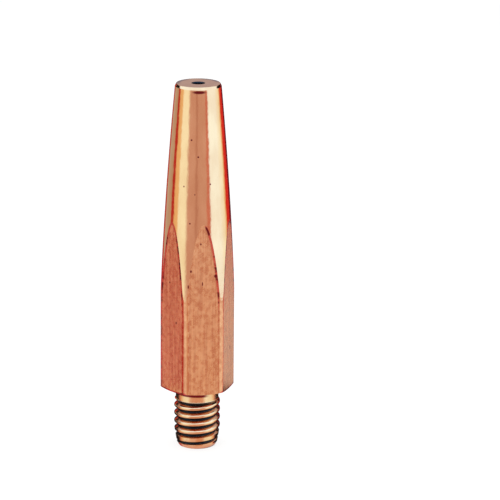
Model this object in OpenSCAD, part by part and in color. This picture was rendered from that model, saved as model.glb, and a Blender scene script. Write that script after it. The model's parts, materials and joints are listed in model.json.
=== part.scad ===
// Contact tip for a gas-shielded arc welding torch.
// One piece of copper, turned from hexagon bar: a thread stub that screws into the torch,
// a hexagon for the spanner and a tapered nose, with a bore for the wire right through.
// Millimetres. +Z runs along the bore, from the thread end at the origin up to the nose.
// One hexagon flat faces -Y.

/* [Overall] */
// Length from the thread end to the nose face
tip_length = 45; // [40:0.5:55]

/* [Hexagon bar] */
// Distance across the flats
across_flats = 8; // [7.6:0.1:9.5]
// Length from the shoulder to where the nose taper reaches the rounded corners
hexagon_length = 11.6; // [8:0.1:16]
// Radius along the six corners of the drawn bar
corner_radius = 0.75; // [0.3:0.05:1.2]
// Diameter of the shoulder's face, inside its chamfer
shoulder_face_d = 7.6; // [6.8:0.1:8.2]
// Slope of the chamfer that breaks the corners at the shoulder
shoulder_angle = 30; // [15:5:45]

/* [Thread stub] */
// Diameter over the thread crests
thread_d = 5.6; // [5.2:0.1:6.2]
// Length from the thread end to the shoulder
stub_length = 7.4; // [6:0.1:10]
// Chamfer at the thread end
end_chamfer = 0.6; // [0.4:0.05:0.9]
// Length of the plain neck under the shoulder
neck_length = 1.4; // [0.6:0.1:2.2]
// Depth of the neck below the thread crests
neck_depth = 0.2; // [0.1:0.05:0.5]

/* [Nose] */
// Diameter at the nose face, before its rim is rounded
nose_d = 5.5; // [4.8:0.1:6.4]
// Radius of the slight outward bow along the taper
taper_bow = 530; // [400:10:1500]
// Radius of the rounded rim
rim_radius = 0.3; // [0.15:0.05:0.8]

/* [Wire bore] */
// Diameter of the bore
bore_d = 1.4; // [0.9:0.05:2]
// Edge break of the bore at the nose face
bore_break = 0.12; // [0.05:0.01:0.3]
// Mouth of the wire inlet at the thread end
inlet_d = 3; // [2.4:0.1:3.6]
// Included angle of the wire inlet
inlet_angle = 60; // [40:5:90]

/* [Hidden] */
// Facets of the turned surfaces
$fn = 96;
// How far cutting shapes run past the metal
overrun = 0.2;
// How far the taper's curve runs on below the corners
run_on = 2;
// Steps in each rounded edge
edge_steps = 5;
// Steps along the bowed taper
bow_steps = 12;

thread_r = thread_d / 2;
neck_r = thread_r - neck_depth;
shoulder_face_r = shoulder_face_d / 2;
// The corners as if the bar were sharp, the centres of their rounding and the rounded corners
sharp_corner_r = across_flats / 2 / cos(30);
corner_centre_r = sharp_corner_r - corner_radius / cos(30);
corner_r = corner_centre_r + corner_radius;
inlet_depth = (inlet_d - bore_d) / 2 / tan(inlet_angle / 2);

// The bowed taper, as [radius, height]: an arc from the rounded corners to the nose face
taper_foot = [corner_r, stub_length + hexagon_length];
taper_top = [nose_d / 2, tip_length];
taper_chord = taper_top - taper_foot;
taper_inward = [-taper_chord.y, taper_chord.x] / norm(taper_chord);
bow_centre = (taper_foot + taper_top) / 2
    + taper_inward * sqrt(pow(taper_bow, 2) - pow(norm(taper_chord) / 2, 2));
// The rim's rounding touches the bow from inside
rim_height = tip_length - rim_radius;
rim_angle = asin((rim_height - bow_centre.y) / (taper_bow - rim_radius));
rim_centre = bow_centre + (taper_bow - rim_radius) * [cos(rim_angle), sin(rim_angle)];
bow_start_angle = asin((taper_foot.y - run_on - bow_centre.y) / taper_bow);

// Points on an arc, anticlockwise from one angle to the other
function arc(centre, radius, from, to, steps) = [
    for (step = [0 : steps])
        let (angle = from + (to - from) * step / steps)
            centre + radius * [cos(angle), sin(angle)]
];

// A list of points without its last one
function but_last(points) = [for (i = [0 : len(points) - 2]) points[i]];

// Section of the bar: a hexagon with rounded corners
module bar_section() {
    polygon([
        for (corner = [0 : 60 : 300])
            each arc(
                corner_centre_r * [cos(corner), sin(corner)], corner_radius,
                corner - 30, corner + 30, edge_steps
            )
    ]);
}

// Half section of what the lathe leaves, as [radius, height]
module turned_section() {
    outside_r = sharp_corner_r + overrun;
    polygon(concat(
        [
            [0, 0],
            [thread_r - end_chamfer, 0],
            [thread_r, end_chamfer],
            [thread_r, stub_length - neck_length - neck_depth],
            [neck_r, stub_length - neck_length],
            [neck_r, stub_length],
            [shoulder_face_r, stub_length],
            [outside_r, stub_length + (outside_r - shoulder_face_r) * tan(shoulder_angle)],
            [outside_r, taper_foot.y - run_on]
        ],
        but_last(arc(bow_centre, taper_bow, bow_start_angle, rim_angle, bow_steps)),
        arc(rim_centre, rim_radius, rim_angle, 90, edge_steps),
        [[0, tip_length]]
    ));
}

// The way of the wire: the inlet cone, the bore and its edge break
module wire_way() {
    bore_r = bore_d / 2;
    inlet_r = inlet_d / 2;
    break_r = bore_r + bore_break;
    rotate_extrude()
        polygon([
            [0, -overrun],
            [inlet_r + overrun * tan(inlet_angle / 2), -overrun],
            [bore_r, inlet_depth],
            [bore_r, tip_length - bore_break],
            [break_r + overrun, tip_length + overrun],
            [0, tip_length + overrun]
        ]);
}

module contact_tip() {
    color("#c8794d")
        difference() {
            intersection() {
                rotate_extrude() turned_section();
                linear_extrude(tip_length) bar_section();
            }
            wire_way();
        }
}

contact_tip();
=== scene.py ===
import bpy
import bmesh
import json
import math
from mathutils import Matrix, Vector


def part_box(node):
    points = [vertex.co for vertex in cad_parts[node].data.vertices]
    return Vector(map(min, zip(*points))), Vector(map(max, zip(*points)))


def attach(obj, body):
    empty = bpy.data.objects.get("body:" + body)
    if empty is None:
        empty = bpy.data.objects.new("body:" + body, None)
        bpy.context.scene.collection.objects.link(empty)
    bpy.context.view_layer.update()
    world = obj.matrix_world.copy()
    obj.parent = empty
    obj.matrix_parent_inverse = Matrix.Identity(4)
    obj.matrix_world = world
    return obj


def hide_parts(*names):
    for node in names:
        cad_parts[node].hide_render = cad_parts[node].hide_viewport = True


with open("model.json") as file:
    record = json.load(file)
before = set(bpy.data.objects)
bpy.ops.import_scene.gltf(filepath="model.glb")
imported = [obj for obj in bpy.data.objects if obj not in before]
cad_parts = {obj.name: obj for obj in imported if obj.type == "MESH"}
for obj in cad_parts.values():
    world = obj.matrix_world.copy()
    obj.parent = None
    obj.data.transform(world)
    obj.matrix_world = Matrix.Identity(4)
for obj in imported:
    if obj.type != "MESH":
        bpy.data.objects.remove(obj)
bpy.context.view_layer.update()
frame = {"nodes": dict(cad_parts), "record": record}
mm = 0.001  # the tip is modelled in millimetres and shrunk to metres when it is finished
weld = 0.0005  # points closer than this, in millimetres, become one
print("frame loaded:", ", ".join(frame["nodes"]))


# helpers for modelling

def clearSelection():
    if bpy.context.object and bpy.context.object.mode != "OBJECT":
        bpy.ops.object.mode_set(mode="OBJECT")
    bpy.ops.object.select_all(action="DESELECT")


def pickUp(piece):  # the only selected object, and the active one
    clearSelection()
    piece.select_set(True)
    bpy.context.view_layer.objects.active = piece


def pickEdges(piece, rule):  # leaves edit mode on, with the edges that the rule takes
    pickUp(piece)
    bpy.ops.object.mode_set(mode="EDIT")
    bpy.ops.mesh.select_mode(type="EDGE")
    bpy.ops.mesh.select_all(action="DESELECT")
    mesh = bmesh.from_edit_mesh(piece.data)
    for edge in mesh.edges:
        if rule(edge):
            edge.select_set(True)
    bmesh.update_edit_mesh(piece.data)


def softPath(corners, arcSteps=5):  # a closed outline of (across, up, rounding) with its corners rounded
    path = []
    for i, (across, up, rounding) in enumerate(corners):
        here = Vector((across, up))
        back = (Vector(corners[i - 1][:2]) - here).normalized()
        ahead = (Vector(corners[(i + 1) % len(corners)][:2]) - here).normalized()
        if rounding == 0:
            path.append(here)
            continue
        half = back.angle(ahead) / 2
        centre = here + (back + ahead).normalized() * rounding / math.sin(half)
        start = here + back * rounding / math.tan(half) - centre
        end = here + ahead * rounding / math.tan(half) - centre
        turns = [start.slerp(end, step / arcSteps) for step in range(arcSteps + 1)]
        path += [centre + turn.normalized() * rounding for turn in turns]
    return path


def drawLine(name, path):  # one vertex, extruded from point to point in the XZ plane
    clearSelection()
    bpy.ops.mesh.primitive_plane_add(size=1, location=(0, 0, 0))
    piece = bpy.context.object
    piece.name = name
    bpy.ops.object.mode_set(mode="EDIT")
    bpy.ops.mesh.select_mode(type="VERT")
    bpy.ops.mesh.select_all(action="SELECT")
    bpy.ops.mesh.merge(type="CENTER")
    bpy.ops.transform.translate(value=(path[0].x, 0, path[0].y))
    for here, there in zip(path, path[1:]):
        stride = there - here
        bpy.ops.mesh.extrude_region_move(TRANSFORM_OT_translate={"value": (stride.x, 0, stride.y)})
    return piece


def tidyMesh():  # in edit mode: merge what meets, and face everything outwards
    bpy.ops.mesh.select_all(action="SELECT")
    bpy.ops.mesh.remove_doubles(threshold=weld)
    bpy.ops.mesh.normals_make_consistent(inside=False)
    bpy.ops.object.mode_set(mode="OBJECT")


def turnLine(name, corners, steps):  # a closed outline spun about the Z axis, as on a lathe
    path = softPath(corners)
    piece = drawLine(name, path + path[:1])
    bpy.ops.mesh.select_all(action="SELECT")
    bpy.ops.mesh.spin(steps=steps, angle=math.tau, center=(0, 0, 0), axis=(0, 0, 1))
    tidyMesh()
    return piece


def workWith(piece, tool, operation):  # a boolean with a tool that is thrown away afterwards
    pickUp(piece)
    cut = piece.modifiers.new(tool.name, "BOOLEAN")
    cut.object = tool
    cut.operation = operation
    cut.solver = "EXACT"
    bpy.ops.object.modifier_apply(modifier=cut.name)
    bpy.data.objects.remove(tool)
    bpy.ops.object.mode_set(mode="EDIT")
    tidyMesh()


# the tip, sizes in millimetres

mounts = {mount["name"]: mount["dims"] for mount in frame["record"]["mounts"]}
low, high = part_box("contact_tip")
tip = {
    "length": (high.z - low.z) / mm,
    "acrossFlats": (high.y - low.y) / mm,
    "cornerRadius": 0.75,
    "shoulder": 7.4,  # height of the shoulder
    "shoulderFace": 3.8,  # radius of its face, inside the chamfer
    "shoulderAngle": math.radians(15),  # flatter than the solid's, so the lower edges run straight
    "neckLength": 1.4,
    "neckDepth": 0.2,
    "endChamfer": 0.6,
    "taperFoot": 19,  # height at which the taper reaches the rounded corners
    "taperBow": 530,  # radius of its slight bow
    "taperSlope": 0.068,  # how fast it narrows
    "noseRadius": 2.75,
    "rimBevel": (0.13, 0.32),  # the rim is broken by a steep bevel: how far in and how far down
    "boreRadius": mounts["wire_bore"]["r_mm"],
    "boreBreak": 0.12,
    "inletRadius": 1.5,
    "inletDepth": 1.39,
    "brokenEdge": 0.06,  # the small rounding on every turned edge
    "softEdge": 0.12,  # the rounding at the thread end and under the shoulder
    "neckRounding": 0.15,  # where the stub steps down to the neck
    "turnSteps": 192,
    "taperSteps": 28,
    "cornerSteps": 24,
}
thread = {
    "crestRadius": mounts["thread"]["r_mm"],
    "pitch": 1.0,
    "depth": 0.46,
    "crestWidth": 0.26,
    "rootWidth": 0.16,
    "crestRounding": 0.23,
    "rootRounding": 0.1,
    "stock": 0.15,  # metal left on the blank for the die
    "leadRadius": 2.48,  # the first turns are low, on a slender cone above the end's chamfer
    "leadFoot": 0.45,
    "leadSlope": 0.17,
    "phase": -0.43,  # height of a crest on the +X side, less whole pitches
    "turnsBelow": 3,
    "turns": 11,
    "steps": 96,
    "roundingSteps": 4,
    "dieInside": 0.15,  # how far the die reaches in past the roots
    "dieWall": 0.5,  # and out past the crests
    "dieFoot": -1,  # it starts below the thread end
}
halfFlat = math.radians(30)  # half the angle that one flat takes up
apothem = tip["acrossFlats"] / 2
sharpCorner = apothem / math.cos(halfFlat)
roundCorner = (high.x - low.x) / mm / 2
cornerSetback = tip["cornerRadius"] * math.tan(halfFlat)  # the rounding starts this far from a sharp corner
taperFoot = Vector((roundCorner, tip["taperFoot"]))
taperChord = Vector((tip["noseRadius"], tip["length"])) - taperFoot
bowReach = math.sqrt(tip["taperBow"] ** 2 - (taperChord.length / 2) ** 2)
bowCentre = taperFoot + taperChord / 2 + Vector((-taperChord.y, taperChord.x)).normalized() * bowReach


def taperRadius(height):
    return bowCentre.x + math.sqrt(tip["taperBow"] ** 2 - (height - bowCentre.y) ** 2)


def makeBlank():  # what the lathe leaves, bored through, with stock on the stub for the thread
    over = 0.2  # how far the blank stands outside the bar
    edge = tip["brokenEdge"]
    stub = thread["crestRadius"] + thread["stock"]
    neck = thread["crestRadius"] - tip["neckDepth"]
    neckStart = tip["shoulder"] - tip["neckLength"]
    chamferFoot = thread["crestRadius"] - tip["endChamfer"]
    outside = sharpCorner + over
    chamferTop = tip["shoulder"] + (outside - tip["shoulderFace"]) * math.tan(tip["shoulderAngle"])
    stride = (tip["length"] - tip["taperFoot"]) / tip["taperSteps"]
    heights = [tip["taperFoot"] + stride * step for step in range(-2, tip["taperSteps"])]
    rimIn, rimDown = tip["rimBevel"]
    corners = [
        (tip["inletRadius"], 0, edge),
        (chamferFoot, 0, tip["softEdge"]),
        (thread["leadRadius"], thread["leadFoot"], tip["softEdge"]),
        (stub, thread["leadFoot"] + (stub - thread["leadRadius"]) / thread["leadSlope"], 0),
        (stub, neckStart - (stub - neck), 0),
        (neck, neckStart, tip["neckRounding"]),
        (neck, tip["shoulder"], tip["softEdge"]),
        (tip["shoulderFace"], tip["shoulder"], edge),
        (outside, chamferTop, 0),
        (outside, heights[0] - over, 0),
        *((taperRadius(height), height, 0) for height in heights),
        (taperRadius(tip["length"] - rimDown), tip["length"] - rimDown, edge),
        (tip["noseRadius"] - rimIn, tip["length"], edge),
        (tip["boreRadius"] + tip["boreBreak"], tip["length"], edge),
        (tip["boreRadius"], tip["length"] - tip["boreBreak"], edge),
        (tip["boreRadius"], tip["inletDepth"], edge),
    ]
    return turnLine("blank", corners, tip["turnSteps"])


def makeBar():  # hexagon bar with drawn, rounded corners, a flat to the front
    over = 1  # how far the bar runs past both ends
    clearSelection()
    bpy.ops.mesh.primitive_cylinder_add(
        vertices=6,
        radius=sharpCorner,
        depth=tip["length"] + 2 * over,
        location=(0, 0, tip["length"] / 2),
        rotation=(0, 0, halfFlat),
    )
    bar = bpy.context.object
    bar.name = "bar"
    bpy.ops.object.transform_apply(location=True, rotation=True, scale=True)
    pickEdges(bar, lambda edge: abs(edge.verts[0].co.z - edge.verts[1].co.z) > over)
    bpy.ops.mesh.bevel(
        offset=cornerSetback,
        segments=tip["cornerSteps"],
        profile=0.5,
        affect="EDGES",
    )
    bpy.ops.object.mode_set(mode="OBJECT")
    return bar


def makeScrew():  # a long screw of the thread's true form, closed at both ends
    crest = thread["crestRadius"]
    root = crest - thread["depth"]
    pitch = thread["pitch"]
    halfRoot = thread["rootWidth"] / 2
    halfCrest = thread["crestWidth"] / 2
    start = thread["phase"] - pitch * (thread["turnsBelow"] + 0.5)
    middle = start + pitch / 2
    corners = [
        (root, start, 0),
        (root, start + halfRoot, thread["rootRounding"]),
        (crest, middle - halfCrest, thread["crestRounding"]),
        (crest, middle + halfCrest, thread["crestRounding"]),
        (root, start + pitch - halfRoot, thread["rootRounding"]),
        (root, start + pitch, 0),
    ]
    screw = drawLine("screw", softPath(corners, thread["roundingSteps"]))
    bpy.ops.object.mode_set(mode="OBJECT")
    wind = screw.modifiers.new("wind", "SCREW")
    wind.axis = "Z"
    wind.angle = math.tau
    wind.screw_offset = pitch
    wind.iterations = thread["turns"]
    wind.steps = thread["steps"]
    wind.render_steps = thread["steps"]
    bpy.ops.object.modifier_apply(modifier=wind.name)
    bpy.ops.object.mode_set(mode="EDIT")
    tidyMesh()
    ends = {True: start - pitch, False: start + pitch * (thread["turns"] + 2)}
    for isLower, height in ends.items():
        pickEdges(screw, lambda edge: edge.is_boundary and (edge.verts[0].co.z < 0) == isLower)
        bpy.context.scene.cursor.location = (0, 0, height)
        bpy.ops.mesh.extrude_region()
        bpy.ops.mesh.merge(type="CURSOR")  # the end closes in a point on the axis
    tidyMesh()
    return screw


def makeDie():  # a sleeve with the thread inside it and a tapered mouth
    inner = thread["crestRadius"] - thread["depth"] - thread["dieInside"]
    outer = thread["crestRadius"] + thread["dieWall"]
    foot = thread["dieFoot"]
    rootTop = tip["shoulder"] - tip["neckLength"] - thread["depth"]
    corners = [
        (inner, foot, 0),
        (outer, foot, 0),
        (outer, rootTop + outer - inner, 0),
        (inner, rootTop, 0),
    ]
    die = turnLine("die", corners, thread["steps"])
    workWith(die, makeScrew(), "DIFFERENCE")
    return die


copperTip = makeBlank()
print("blank turned:", len(copperTip.data.polygons), "faces")
workWith(copperTip, makeBar(), "INTERSECT")
print("hexagon cut:", len(copperTip.data.polygons), "faces")
workWith(copperTip, makeDie(), "DIFFERENCE")
print("thread cut:", len(copperTip.data.polygons), "faces")
copperTip.name = "copperTip"
copperTip.data.name = "copperTip"


# surfaces: which face has which finish, and which edges stay crisp

finish = {
    "turned": 0,
    "drawn": 1,
    "threaded": 2,
    "upright": 0.02,  # how far a drawn face's normal may lean
    "onBar": 0.98,  # share of the apothem outside which an upright face is the bar's
    "crispAngle": math.radians(32),
}


def finishOf(centre, normal):
    outside = math.hypot(centre.x, centre.y)
    if centre.z < tip["shoulder"] - tip["neckLength"] and outside > tip["inletRadius"]:
        return finish["threaded"]
    if abs(normal.z) < finish["upright"] and outside > apothem * finish["onBar"]:
        return finish["drawn"]
    return finish["turned"]


def isCrisp(edge):  # the arches where the taper runs out of the flats are crisp at any angle
    kinds = {face.material_index for face in edge.link_faces}
    if finish["drawn"] in kinds and len(kinds) > 1:
        return True
    return edge.calc_face_angle(0) > finish["crispAngle"]


for face in copperTip.data.polygons:
    face.material_index = finishOf(face.center, face.normal)
pickUp(copperTip)
bpy.ops.object.shade_smooth()
pickEdges(copperTip, isCrisp)
bpy.ops.mesh.mark_sharp()
bpy.ops.mesh.select_all(action="SELECT")
bpy.ops.transform.resize(value=(mm, mm, mm), center_override=(0, 0, 0))
bpy.ops.object.mode_set(mode="OBJECT")
even = copperTip.modifiers.new("even", "WEIGHTED_NORMAL")  # large faces shade flat, roundings stay round
even.keep_sharp = True
bpy.ops.object.modifier_apply(modifier=even.name)
print("surfaces sorted:", len(copperTip.data.polygons), "faces")


# node work

class Wire:  # a socket that sums can be written with
    def __init__(self, tree, socket=None):
        self.tree = tree
        self.socket = socket

    def node(self, kind, settings=None, sockets=None, output=0):
        made = self.tree.nodes.new(kind)
        for name, value in (settings or {}).items():
            if name == "stops":
                self.setStops(made.color_ramp.elements, value)
            else:
                setattr(made, name, value)
        for name, value in (sockets or {}).items():
            if isinstance(value, Wire):
                self.tree.links.new(value.socket, made.inputs[name])
            else:
                made.inputs[name].default_value = value
        return Wire(self.tree, made.outputs[output] if len(made.outputs) else None)

    def setStops(self, elements, stops):
        while len(elements) > 1:
            elements.remove(elements[-1])
        for i, (place, colour) in enumerate(stops):
            stop = elements[0] if i == 0 else elements.new(place)
            stop.position = place
            stop.color = (*colour, 1)

    def math(self, operation, *values):
        return self.node("ShaderNodeMath", {"operation": operation}, dict(enumerate(values)))

    def __add__(self, other):
        return self.math("ADD", self, other)

    def __radd__(self, other):
        return self.math("ADD", other, self)

    def __sub__(self, other):
        return self.math("SUBTRACT", self, other)

    def __rsub__(self, other):
        return self.math("SUBTRACT", other, self)

    def __mul__(self, other):
        return self.math("MULTIPLY", self, other)

    def __rmul__(self, other):
        return self.math("MULTIPLY", other, self)

    def __truediv__(self, other):
        return self.math("DIVIDE", self, other)

    def __rtruediv__(self, other):
        return self.math("DIVIDE", other, self)

    def __abs__(self):
        return self.math("ABSOLUTE", self)

    def fade(self, start, end, low=0, high=1):  # a smooth step from low to high
        settings = {"interpolation_type": "SMOOTHSTEP"}
        return self.node("ShaderNodeMapRange", settings, {0: self, 1: start, 2: end, 3: low, 4: high})

    def band(self, start, end, soft):  # one between start and end, zero outside
        return self.fade(start - soft, start) * self.fade(end, end + soft, 1, 0)

    def tint(self, first, second):  # this value mixes one colour into the other
        return self.node("ShaderNodeMix", {"data_type": "RGBA"}, {0: self, 6: first, 7: second}, 2)


def startMaterial(name):
    material = bpy.data.materials.new(name)
    material.use_nodes = True
    material.node_tree.nodes.clear()
    return material, Wire(material.node_tree)


def rgb(*levels):
    return (*levels, 1)


copper = {
    "bright": rgb(0.72, 0.31, 0.165),
    "deep": rgb(0.66, 0.265, 0.135),
    "rosy": rgb(0.57, 0.2, 0.104),
    "pale": rgb(0.77, 0.345, 0.18),
    # the next two paint dark reflection lines, beside the corners and along the flats' edges
    "rust": rgb(0.5, 0.09, 0.05),
    "crust": rgb(0.55, 0.03, 0.035),
    # this colours the real pits, and also painted shade and painted dark reflections
    "tarnish": rgb(0.16, 0.01, 0.013),
    # painted shade under each thread crest
    "burnt": rgb(0.07, 0.008, 0.009),
    # painted shade, near black, in the bore and in the thread's roots
    "soot": rgb(0.012, 0.01, 0.013),
}
marks = (  # pits, and last a painted dark reflection under the nose rim: degrees round from the front flat, height, and reach across and upwards
    (-24, 38.8, 0.13, 0.13),
    (-10, 36.8, 0.13, 0.13),
    (13, 33.5, 0.12, 0.12),
    (-37, 33.2, 0.1, 0.12),
    (-16, 32.3, 0.08, 0.1),
    (-24, 28.8, 0.12, 0.12),
    (-5, 26.3, 0.12, 0.15),
    (20, 22.3, 0.24, 0.26),
    (-21, 23, 0.14, 0.2),
    (-2, 21.4, 0.09, 0.3),
    (-25, 21.1, 0.1, 0.28),
    (-66, 21.1, 0.14, 0.14),
    (-49, 16.3, 0.13, 0.2),
    (67, 12.6, 0.12, 0.25),
    # painted reflection: the dark slot under the nose rim's highlight
    (-8, 44.43, 0.95, 0.22),
)


def surfaceRadius(angle, height):  # of the taper or of a flat, whichever lies deeper
    lean = (angle + 30) % 60 - 30
    return min(taperRadius(height), apothem / math.cos(math.radians(lean)))


def tipPlace(wire):  # where on the tip, in millimetres
    place = wire.node("ShaderNodeTexCoord", output="Object")
    place = wire.node("ShaderNodeVectorMath", {"operation": "SCALE"}, {0: place, "Scale": 1 / mm})
    across, deep, height = (wire.node("ShaderNodeSeparateXYZ", {}, {0: place}, axis) for axis in "XYZ")
    return place, across, deep, height


def fromAxis(across, deep):
    return across.math("SQRT", across * across + deep * deep)


def noise(wire, place, scale, detail=3):  # scale is cells to the millimetre along X, Y and Z
    stretched = wire.node("ShaderNodeMapping", {}, {"Vector": place, "Scale": scale})
    return wire.node("ShaderNodeTexNoise", {}, {"Vector": stretched, "Scale": 1, "Detail": detail})


def marked(wire, place):  # one in the marks, zero elsewhere
    spots = None
    for angle, height, across, tall in marks:
        reach = surfaceRadius(angle, height)
        turn = math.radians(angle)
        centre = (reach * math.sin(turn), -reach * math.cos(turn), height)
        size = (across, across, tall)
        offset = wire.node("ShaderNodeVectorMath", {"operation": "SUBTRACT"}, {0: place, 1: centre})
        offset = wire.node("ShaderNodeVectorMath", {"operation": "DIVIDE"}, {0: offset, 1: size})
        away = wire.node("ShaderNodeVectorMath", {"operation": "LENGTH"}, {0: offset}, "Value")
        spot = away.fade(0.5, 1.1, 1, 0)
        spots = spots.math("MAXIMUM", spots, spot) if spots else spot
    return spots


def finishMaterial(material, wire, colour, roughness, height):  # height in hundredths of a millimetre
    bump = wire.node("ShaderNodeBump", {}, {"Strength": 1, "Distance": 0.01 * mm, "Height": height})
    sockets = {"Base Color": colour, "Metallic": 1, "Roughness": roughness, "Normal": bump}
    shader = wire.node("ShaderNodeBsdfPrincipled", {}, sockets)
    wire.node("ShaderNodeOutputMaterial", {}, {"Surface": shader})
    return material


noiseSpan = (0.3, 0.7)  # most of a noise lies between these
cloudSpan = (0.35, 0.7)
turnedLook = {  # distances in millimetres, most pairs say where a fade starts and ends
    "cloud": (0.6, 0.6, 0.25),
    "lathe": (0.15, 0.15, 9),
    "dents": (1, 1, 0.7),
    "latheDepth": 0.1,
    "dentDepth": 2.5,
    "roughness": (0.07, 0.12),
    "neckRoughness": 0.14,  # added under the shoulder
    "neckFade": 0.1,
    "boreRoughness": 0.4,  # added in the bore
    "boreEdge": (0.1, 0.16),  # the painted shade ends this far outside the bore
    "chamferStain": (0.02, 0.5),  # painted shade on the chamfer, which faces down: from and to, above the shoulder
    "chamferSoft": 0.05,
    "chamferRadius": (3.5, 3.7),
    "neckStain": 0.65,  # painted shade under the shoulder reaches this far down from the shoulder
    "neckSoft": 0.15,
    "neckRadius": (3, 3.2),
    "neckSide": (0.3, 1.2),  # the neck's right side has no painted shade
    "rimRadius": (1.95, 2.4),  # the painted dark reflection round the back of the nose face
    "rimDown": (0.1, 0.04),
    "rimBack": (-0.6, 0.9),
    "rimSides": (0.2, 1.2),
    "rimCloud": (0.3, 0.5),
    "rimLeast": 0.5,
}


def turnedCopper():  # the taper, nose, shoulder, neck and bore, off the lathe
    material, wire = startMaterial("turnedCopper")
    place, across, deep, height = tipPlace(wire)
    radius = fromAxis(across, deep)
    look = turnedLook
    cloud = noise(wire, place, look["cloud"], 4)
    lathe = noise(wire, place, look["lathe"])
    dents = noise(wire, place, look["dents"], 2)
    colour = cloud.fade(*cloudSpan).tint(copper["deep"], copper["bright"])
    shoulder = tip["shoulder"]
    chamferFrom, chamferTo = (shoulder + up for up in look["chamferStain"])
    # painted shade: on the chamfer, which faces down, and on the neck's top under the shoulder
    chamfer = height.band(chamferFrom, chamferTo, look["chamferSoft"]) * radius.fade(*look["chamferRadius"])
    neckTop = height.band(shoulder - look["neckStain"], shoulder, look["neckSoft"])
    neckTop = neckTop * radius.fade(*look["neckRadius"], 1, 0) * across.fade(*look["neckSide"], 1, 0)
    paintedShade = chamfer.math("MAXIMUM", chamfer, neckTop)
    colour = paintedShade.tint(colour, copper["tarnish"])
    colour = marked(wire, place).tint(colour, copper["tarnish"])
    # painted reflection: dark arcs round the back of the nose face, broken by the cloud noise
    onFace = height.fade(*(tip["length"] - down for down in look["rimDown"]))
    rimDarkReflection = radius.fade(*look["rimRadius"]) * onFace
    rimDarkReflection = rimDarkReflection * deep.fade(*look["rimBack"]) * abs(across).fade(*look["rimSides"])
    rimDarkReflection = rimDarkReflection * cloud.fade(*look["rimCloud"], look["rimLeast"], 1)
    colour = rimDarkReflection.tint(colour, copper["tarnish"])
    # painted shade: the bore and its edge are painted near black
    inside = radius.fade(*(tip["boreRadius"] + out for out in look["boreEdge"]), 1, 0)
    colour = inside.tint(colour, copper["soot"])
    underShoulder = height.fade(shoulder - look["neckFade"], shoulder, look["neckRoughness"], 0)
    roughness = lathe.fade(*noiseSpan, *look["roughness"]) + inside * look["boreRoughness"] + underShoulder
    bump = dents * look["dentDepth"] + lathe * look["latheDepth"]
    return finishMaterial(material, wire, colour, roughness, bump)


drawnLook = {  # distances in millimetres, most pairs say where a fade starts and ends
    "cloud": (2.4, 2.4, 1.8),
    "lines": (4, 4, 0.12),
    "dashes": (0.6, 0.6, 1.3),
    "mottleSpan": (0.36, 0.64),
    "dashSpan": (0.48, 0.62),
    "lineDepth": 0.3,
    "roughness": (0.25, 0.33),
    "cornerPolish": 0.15,  # the corners are this much smoother
    "cornerEdge": (-0.01, 0.03),  # where a corner starts, from the end of the flat
    "cornerLine": (-0.04, -0.01),  # a painted dark reflection line beside it, from and to
    "cornerSoft": 0.02,
    "cornerRust": 0.6,
    "archLine": (0.2, 0.42),  # the painted dark reflection line along the arches
    "archDashes": (0.75, 0.25),  # how much of it is even and how much is dashed
    "bareFrom": (-2.2, -1.8),  # the left side of the front arch has no painted line
    "bareTo": (0, 0.3),
    "footLine": (0.1, 0.26),  # a painted shade line above the chamfer, but not on the front flat
    "footSides": (1.9, 2.4),
    "sideLine": (4.37, 4.43),  # a painted dark reflection line on the two corners at the sides
    "sideStrength": 0.7,
}


def drawnCopper():  # the flats and corners of the bar
    material, wire = startMaterial("drawnCopper")
    place, across, deep, height = tipPlace(wire)
    radius = fromAxis(across, deep)
    look = drawnLook
    cloud = noise(wire, place, look["cloud"], 4)
    lines = noise(wire, place, look["lines"])
    dashes = noise(wire, place, look["dashes"], 2).fade(*look["dashSpan"])
    mottle = (cloud * 0.5 + lines * 0.5).fade(*look["mottleSpan"])
    colour = mottle.tint(copper["rosy"], copper["pale"])
    away = height - bowCentre.y
    taper = away.math("SQRT", tip["taperBow"] ** 2 - away * away) + bowCentre.x
    flatEnd = math.hypot(apothem, sharpCorner / 2 - cornerSetback)
    corner = radius.fade(*(flatEnd + out for out in look["cornerEdge"]))
    # painted reflection: a dashed dark red line on the flat beside each corner
    cornerLine = radius.band(*(flatEnd + out for out in look["cornerLine"]), look["cornerSoft"]) * dashes
    colour = (cornerLine * look["cornerRust"]).tint(colour, copper["rust"])
    # painted reflection: a dark line along the arches where the taper meets the flats, partly dashed
    lean = 1 - apothem ** 2 / (radius * radius)
    toArch = (taper - radius) / lean.math("SQRT", lean + tip["taperSlope"] ** 2)
    archLine = toArch.fade(*look["archLine"], 1, 0) * (1 - corner)
    linedArchSides = across.math("MAXIMUM", across.fade(*look["bareFrom"], 1, 0), across.fade(*look["bareTo"]))
    evenPart, dashedPart = look["archDashes"]
    archLine = archLine * linedArchSides * (evenPart + dashes * dashedPart)
    # painted shade: a dark line along the foot of the flats, above the chamfer
    chamfer = tip["shoulder"] + (radius - tip["shoulderFace"]) * math.tan(tip["shoulderAngle"])
    footLine = (height - chamfer).fade(*look["footLine"], 1, 0) * abs(across).fade(*look["footSides"])
    # painted reflection: a dark line down the two corners at the sides
    sideLine = abs(across).fade(*look["sideLine"]) * look["sideStrength"]
    # the painted reflection and shade lines together, tinted from dark red to near black
    edges = archLine.math("MAXIMUM", archLine, footLine)
    edges = edges.math("MAXIMUM", edges, sideLine)
    colour = edges.tint(colour, dashes.tint(copper["crust"], copper["tarnish"]))
    colour = marked(wire, place).tint(colour, copper["tarnish"])
    roughness = cloud.fade(*noiseSpan, *look["roughness"]) - corner * look["cornerPolish"]
    return finishMaterial(material, wire, colour, roughness, lines * look["lineDepth"])


threadedLook = {
    "cloud": (2, 2, 2),
    "burnt": (-0.4, -0.15),  # pitches from the nearest crest, minus is below it
    "oilBelow": (-0.42, -0.26),
    "oilAbove": (0.34, 0.42),
    "oilFoot": (0.3, 0.6),  # millimetres above the thread end
    "roughness": (0.12, 0.2),
    "oilRoughness": 0.2,
    "grain": 0.3,
}


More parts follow.
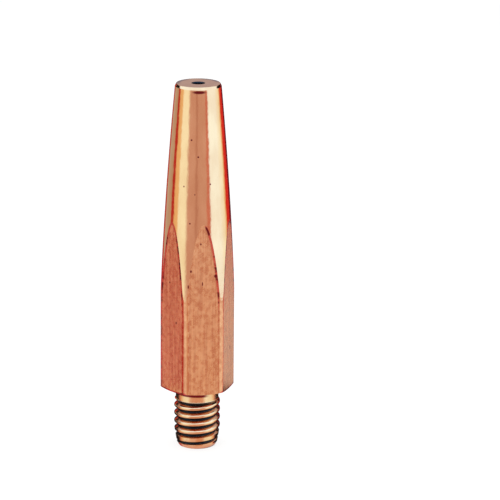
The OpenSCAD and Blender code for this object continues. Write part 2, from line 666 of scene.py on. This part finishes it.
def threadedCopper():  # the thread, with painted shade under each crest, on the lower flanks and in the roots
    material, wire = startMaterial("threadedCopper")
    place, across, deep, height = tipPlace(wire)
    look = threadedLook
    cloud = noise(wire, place, look["cloud"], 4)
    colour = cloud.fade(*cloudSpan).tint(copper["deep"], copper["bright"])
    turn = across.math("ARCTAN2", deep, across) / math.tau
    ridge = (height - thread["phase"]) / thread["pitch"] - turn + 0.5
    above = ridge.math("FRACT", ridge) - 0.5  # pitches above the nearest crest
    # painted shade: darker under each crest
    colour = above.fade(*look["burnt"], 1, 0).tint(colour, copper["burnt"])
    # painted shade: near black on the lower flanks and in the roots, which are also made rougher
    rootShade = above.math("MAXIMUM", above.fade(*look["oilBelow"], 1, 0), above.fade(*look["oilAbove"]))
    rootShade = rootShade * height.fade(*look["oilFoot"])
    colour = rootShade.tint(colour, copper["soot"])
    roughness = cloud.fade(*noiseSpan, *look["roughness"]) + rootShade * look["oilRoughness"]
    return finishMaterial(material, wire, colour, roughness, cloud * look["grain"])


for makeFinish in (turnedCopper, drawnCopper, threadedCopper):
    copperTip.data.materials.append(makeFinish())
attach(copperTip, "root")
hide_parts("contact_tip")
print("copper finished")


# camera, where the photograph was taken from

shot = {
    "azimuth": math.radians(-10.43),
    "elevation": math.radians(15.8),
    "distance": 350 * mm,
    "lens": 209.5,
    "panRight": math.radians(1.03),
    "tiltUp": math.radians(0.32),
    "roll": math.radians(0.212),
    "nearest": 0.01,  # nothing closer than this is drawn, in metres
}
middle = (low + high) / 2
turnCamera = Matrix.Rotation(shot["azimuth"], 3, "Z")
aimCamera = turnCamera @ Matrix.Rotation(math.radians(90) - shot["elevation"], 3, "X")
back = aimCamera @ Vector((0, 0, 1))
aimCamera = aimCamera @ Matrix.Rotation(-shot["panRight"], 3, "Y")
aimCamera = aimCamera @ Matrix.Rotation(shot["tiltUp"], 3, "X")
aimCamera = aimCamera @ Matrix.Rotation(shot["roll"], 3, "Z")
bpy.ops.object.camera_add(location=middle + back * shot["distance"], rotation=aimCamera.to_euler())
camera = bpy.context.object
camera.data.lens = shot["lens"]
camera.data.clip_start = shot["nearest"]
bpy.context.scene.camera = camera
print("camera placed")


# stage: floor, light tent, lamps and world

stage = {
    "floorSize": 3,
    "floorColour": rgb(0.9, 0.9, 0.9),
    "floorGlow": 0.78,  # share of plain white in the floor that the camera sees
    "worldLevel": 0.7,
    "overheadSize": 500 * mm,
    "overheadHeight": 320 * mm,
    "overheadLevel": 2.2,
    "roofRadius": 300 * mm,
    "roofColour": rgb(0.3, 0.64, 1),
    "roofLevel": 4.6,
    "ringLevel": 4.5,  # a ring's colours are divided by this, to stay below 1, and glow with it
    "clothSides": 96,
}
cloth = {  # colours of the light tent's cloths
    "red": (0.7, 0.13, 0.08),
    "tan": (0.7, 0.85, 0.74),
    "crimson": (0.67, 0.08, 0.08),
    "orange": (1.15, 1.3, 0.8),
    "cream": (1.33, 2.35, 2.4),
    "plain": (0.87, 0.87, 0.88),
    "seam": (0.7, 0.6, 0.58),
    "rust": (0.85, 0.5, 0.46),
    "white": (1.39, 2.85, 3.9),
    "scarlet": (0.92, 0.07, 0.06),
    "maroon": (0.25, 0.015, 0.035),
    "grey": (0.57, 0.57, 0.57),
    "black": (0.02, 0.02, 0.025),
    "rose": (1, 0.95, 1),
    "peach": (0.95, 0.82, 0.65),
    "pink": (0.76, 0.83, 0.76),
    "blush": (1.12, 1.3, 1.29),
}
rings = {  # each cloth hangs round the tip: degrees from the camera, positive to its right, and colours
    "taperCloth": {
        "radius": 260 * mm,
        "foot": -41 * mm,
        "top": 70 * mm,
        "stops": (
            (-180, "black"), (-164, "maroon"), (-158, "red"), (-148, "red"), (-141, "tan"), (-110, "tan"),
            (-105, "crimson"), (-95, "crimson"), (-90, "orange"), (-77, "orange"), (-70, "cream"),
            (-44, "cream"), (-35, "plain"), (-12, "plain"), (-5, "seam"), (2, "plain"), (30, "plain"),
            (35, "rust"), (41, "rust"), (47, "white"), (82, "white"), (106, "cream"), (114, "orange"),
            (120, "scarlet"), (138, "scarlet"), (144, "maroon"), (160, "maroon"), (168, "black"),
            (180, "black"),
        ),
    },
    "flatCloth": {
        "radius": 260 * mm,
        "foot": -250 * mm,
        "top": -41 * mm,
        "stops": (
            (-180, "maroon"), (-150, "crimson"), (-134, "crimson"), (-124, "rose"), (-103, "rose"),
            (-98, "crimson"), (-60, "crimson"), (-55, "blush"), (-12, "blush"), (-6, "peach"),
            (33, "peach"), (40, "blush"), (108, "blush"), (113, "scarlet"), (124, "scarlet"),
            (129, "pink"), (154, "pink"), (162, "red"), (180, "maroon"),
        ),
    },
    "noseCloth": {
        "radius": 260 * mm,
        "foot": 70 * mm,
        "top": 140 * mm,
        "stops": (
            (-180, "grey"), (-166, "grey"), (-162, "black"), (-96, "black"), (-88, "white"), (104, "white"),
            (112, "black"), (162, "black"), (166, "grey"), (180, "grey"),
        ),
    },
    "highCloth": {
        "radius": 260 * mm,
        "foot": 140 * mm,
        "top": 320 * mm,
        "stops": (
            (-180, "grey"), (-140, "grey"), (-100, "white"), (100, "white"), (140, "grey"), (180, "grey"),
        ),
    },
    "stubCloth": {
        "radius": 12 * mm,
        "foot": -6 * mm,
        "top": 4.4 * mm,
        "stops": (
            (-180, "grey"), (-168, "grey"), (-160, "black"), (-106, "black"), (-96, "rust"),
            (-84, "orange"), (-68, "cream"), (-46, "cream"), (-28, "peach"), (28, "peach"),
            (42, "cream"), (72, "cream"), (88, "orange"), (98, "rust"), (106, "black"),
            (160, "black"), (168, "grey"), (180, "grey"),
        ),
    },
}


def seenDirectly(wire):  # one for what the camera, a mirror or a glass sees, zero for plain bounce light
    eye = wire.node("ShaderNodeLightPath", output="Is Camera Ray")
    glossy = wire.node("ShaderNodeLightPath", output="Is Glossy Ray")
    glass = wire.node("ShaderNodeLightPath", output="Is Transmission Ray")
    return eye.math("MAXIMUM", eye.math("MAXIMUM", eye, glossy), glass)


def makeFloor():
    clearSelection()
    bpy.ops.mesh.primitive_plane_add(size=stage["floorSize"], location=(0, 0, 0))
    floor = bpy.context.object
    floor.name = "floor"
    material, wire = startMaterial("paleFloor")
    matt = wire.node("ShaderNodeBsdfDiffuse", {}, {"Color": stage["floorColour"]})
    white = wire.node("ShaderNodeEmission", {}, {"Color": rgb(1, 1, 1), "Strength": 1})
    glow = seenDirectly(wire) * stage["floorGlow"]
    shader = wire.node("ShaderNodeMixShader", {}, {0: glow, 1: matt, 2: white})
    wire.node("ShaderNodeOutputMaterial", {}, {"Surface": shader})
    floor.data.materials.append(material)
    floor.visible_glossy = False  # the metal sees the tent instead, below the floor too


def hangCloth(piece, material, wire, colour, level):  # a glowing cloth that only the metal sees
    glow = wire.node("ShaderNodeEmission", {}, {"Color": colour, "Strength": level})
    wire.node("ShaderNodeOutputMaterial", {}, {"Surface": glow})
    material.cycles.emission_sampling = "NONE"
    piece.data.materials.append(material)
    piece.visible_camera = False
    piece.visible_diffuse = False
    piece.visible_shadow = False


def makeRing(name, ring):  # soft boxes and dark flags, as one ring of cloth
    clearSelection()
    bpy.ops.mesh.primitive_cylinder_add(
        vertices=stage["clothSides"],
        radius=ring["radius"],
        depth=ring["top"] - ring["foot"],
        end_fill_type="NOTHING",
        location=(0, 0, (ring["top"] + ring["foot"]) / 2),
    )
    piece = bpy.context.object
    piece.name = name
    material, wire = startMaterial(name)
    place = wire.node("ShaderNodeTexCoord", output="Object")
    place = wire.node("ShaderNodeMapping", {}, {"Vector": place, "Rotation": (0, 0, -shot["azimuth"])})
    right = wire.node("ShaderNodeSeparateXYZ", {}, {0: place}, "X")
    away = wire.node("ShaderNodeSeparateXYZ", {}, {0: place}, "Y")
    around = right.math("ARCTAN2", right, -1 * away) / math.tau + 0.5
    stops = [
        (degrees / 360 + 0.5, [level / stage["ringLevel"] for level in cloth[colour]])
        for degrees, colour in ring["stops"]
    ]
    colour = wire.node("ShaderNodeValToRGB", {"stops": stops}, {0: around})
    hangCloth(piece, material, wire, colour, stage["ringLevel"])


def makeRoof():
    clearSelection()
    bpy.ops.mesh.primitive_circle_add(
        vertices=stage["clothSides"],
        radius=stage["roofRadius"],
        fill_type="NGON",
        location=(0, 0, stage["overheadHeight"]),
    )
    roof = bpy.context.object
    roof.name = "roofCloth"
    material, wire = startMaterial("roofCloth")
    hangCloth(roof, material, wire, stage["roofColour"], stage["roofLevel"])


def makeLamp():  # lights the floor from above
    area = stage["overheadSize"] ** 2
    bpy.ops.object.light_add(type="AREA", location=(0, 0, stage["overheadHeight"]))
    lamp = bpy.context.object
    lamp.name = "overheadSoftbox"
    lamp.data.size = stage["overheadSize"]
    lamp.data.energy = stage["overheadLevel"] * math.pi * area
    lamp.visible_camera = False
    lamp.visible_glossy = False


def makeWorld():
    world = bpy.data.worlds.new("studio")
    world.use_nodes = True
    world.node_tree.nodes.clear()
    bpy.context.scene.world = world
    wire = Wire(world.node_tree)
    level = seenDirectly(wire).fade(0, 1, stage["worldLevel"], 1)
    shader = wire.node("ShaderNodeBackground", {}, {"Color": rgb(1, 1, 1), "Strength": level})
    wire.node("ShaderNodeOutputWorld", {}, {"Surface": shader})


makeFloor()
for name, ring in rings.items():
    makeRing(name, ring)
makeRoof()
makeLamp()
makeWorld()
bpy.context.scene.view_settings.view_transform = "Standard"
print("stage set")
